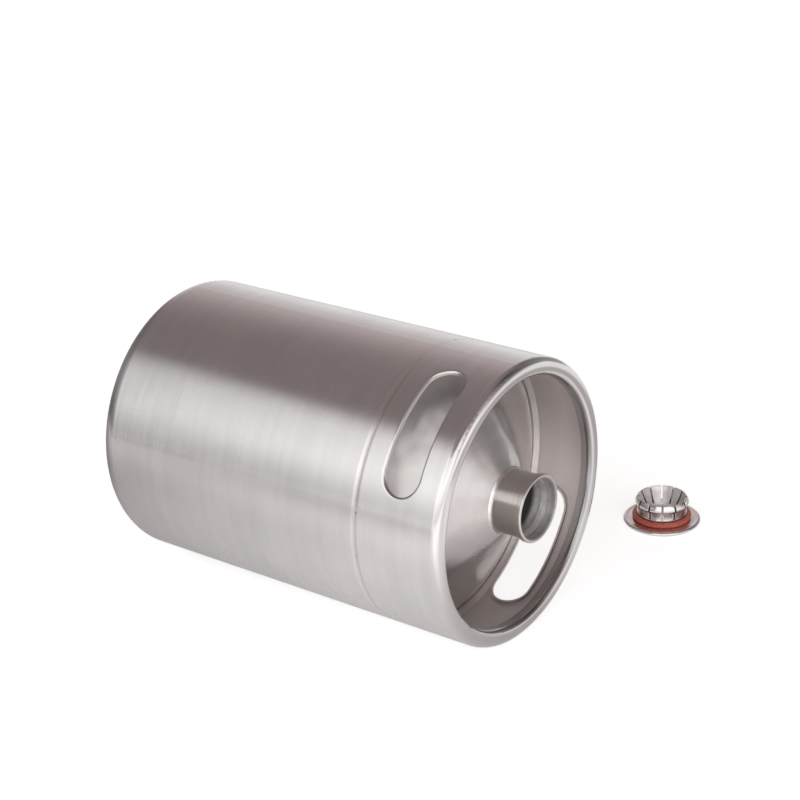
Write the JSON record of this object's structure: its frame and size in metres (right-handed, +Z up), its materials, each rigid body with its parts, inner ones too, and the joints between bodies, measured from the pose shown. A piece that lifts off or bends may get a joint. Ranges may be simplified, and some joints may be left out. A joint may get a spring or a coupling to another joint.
{
  "type": "mini keg",
  "caption": "Small stainless keg lying on its side, with a grip-slotted collar, a beaded neck and a removed snap-in bung with an O-ring.",
  "frame": {"origin": "middle of the footprint of keg and bung, on the surface that both rest on", "axes": "+X along the keg's axis from base to neck, +Z up, +Y towards the side where the bung lies"},
  "size_m": [0.262, 0.2724, 0.165],
  "materials": {
    "brushed_steel": "brushed round the axis",
    "weld_steel": "dressed weld",
    "turned_steel": "fine turned",
    "polished_steel": "polished",
    "silicone": "matt red silicone"
  },
  "bodies": {
    "keg": {"body_shell": "brushed_steel", "top_head": "brushed_steel", "top_collar": "brushed_steel", "girth_weld": "weld_steel", "collar_weld": "weld_steel", "neck_spud": "turned_steel", "neck_weld": "weld_steel"},
    "bung": {"bung_body": "polished_steel", "bung_seal": "silicone"}
  },
  "joints": [
    {"name": "bung_lift", "type": "slide", "parent": "keg", "child": "bung", "axis": [0, 0, 1], "range_m": [0, 0.15]}
  ]
}
